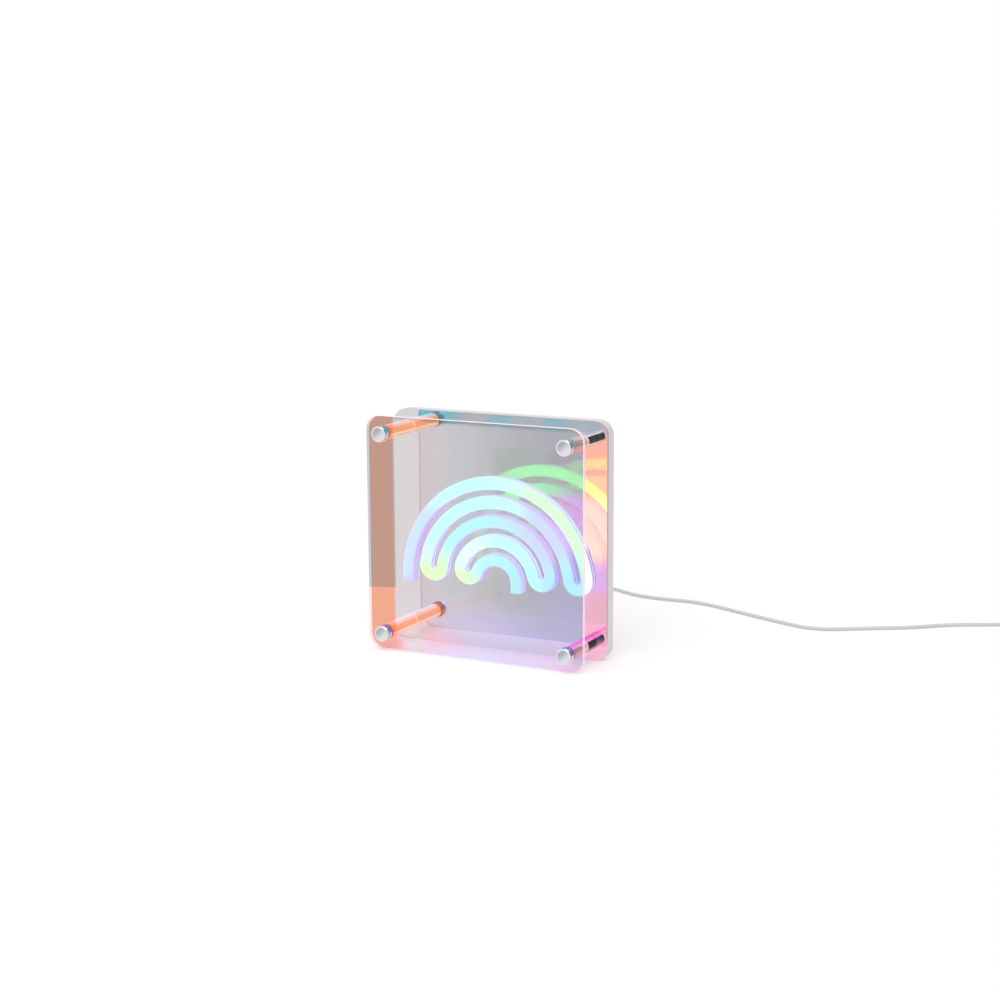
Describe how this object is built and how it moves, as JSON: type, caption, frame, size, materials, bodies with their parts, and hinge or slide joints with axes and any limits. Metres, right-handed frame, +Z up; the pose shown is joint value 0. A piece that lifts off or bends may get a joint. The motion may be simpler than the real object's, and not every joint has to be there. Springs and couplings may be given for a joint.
{
  "type": "rainbow lamp",
  "caption": "Square desk lamp: a rainbow of light tube bent back and forth on a mirror, behind a clear iridescent panel held off it by chrome stand-offs, with a white cord.",
  "frame": {"origin": "middle of the footprint, on the surface that the lamp stands on", "axes": "+X to the lamp's right as seen from the front, +Y to the back, +Z up"},
  "size_m": [0.5913, 0.3823, 0.2],
  "materials": {
    "clear_acrylic": "polished clear acrylic",
    "film": "colour-shifting dichroic film",
    "soft_white": "matt",
    "steel": "zinc plated",
    "mirror": "silvered",
    "white_plastic": "satin white",
    "neon_silicone": "milky silicone, lit from inside",
    "led_yellow": "phosphor",
    "board_green": "solder resist",
    "black_plastic": "satin",
    "wire_red": "smooth",
    "cord_white": "smooth satin",
    "black_strap": "woven",
    "chrome_trim": "polished"
  },
  "bodies": {
    "lamp": {"front_panel": "clear_acrylic", "iridescent_film": "film", "panel_washers": "soft_white", "standoff_studs": "steel", "rear_washers": "steel", "rear_screws": "steel", "mirror_panel": "mirror", "rear_housing": "white_plastic", "back_cover": "white_plastic", "cover_screws": "steel", "neon_tube": "neon_silicone", "tube_tape": "soft_white", "led_strip": "soft_white", "led_chips": "led_yellow", "tube_start_cap": "neon_silicone", "tube_end_cap": "neon_silicone", "driver_board": "board_green", "board_screws": "steel", "board_components": "black_plastic", "lead_wires": "wire_red", "supply_wires": "wire_red", "switch_body": "black_plastic", "strain_relief": "cord_white", "cord": "cord_white", "cord_coil": "cord_white", "cord_tie": "black_strap", "cord_tail": "cord_white", "plug_body": "cord_white", "plug_shell": "steel", "plug_tongue": "white_plastic", "standoff_cap_ul": "chrome_trim", "standoff_barrel_ul": "chrome_trim", "standoff_cap_ur": "chrome_trim", "standoff_barrel_ur": "chrome_trim", "standoff_cap_ll": "chrome_trim", "standoff_barrel_ll": "chrome_trim", "standoff_cap_lr": "chrome_trim", "standoff_barrel_lr": "chrome_trim"},
    "knob": {"switch_knob": "black_plastic"}
  },
  "joints": [
    {"name": "switch_slide", "type": "slide", "parent": "lamp", "child": "knob", "axis": [1, 0, 0], "range_m": [0, 0.0025]}
  ]
}
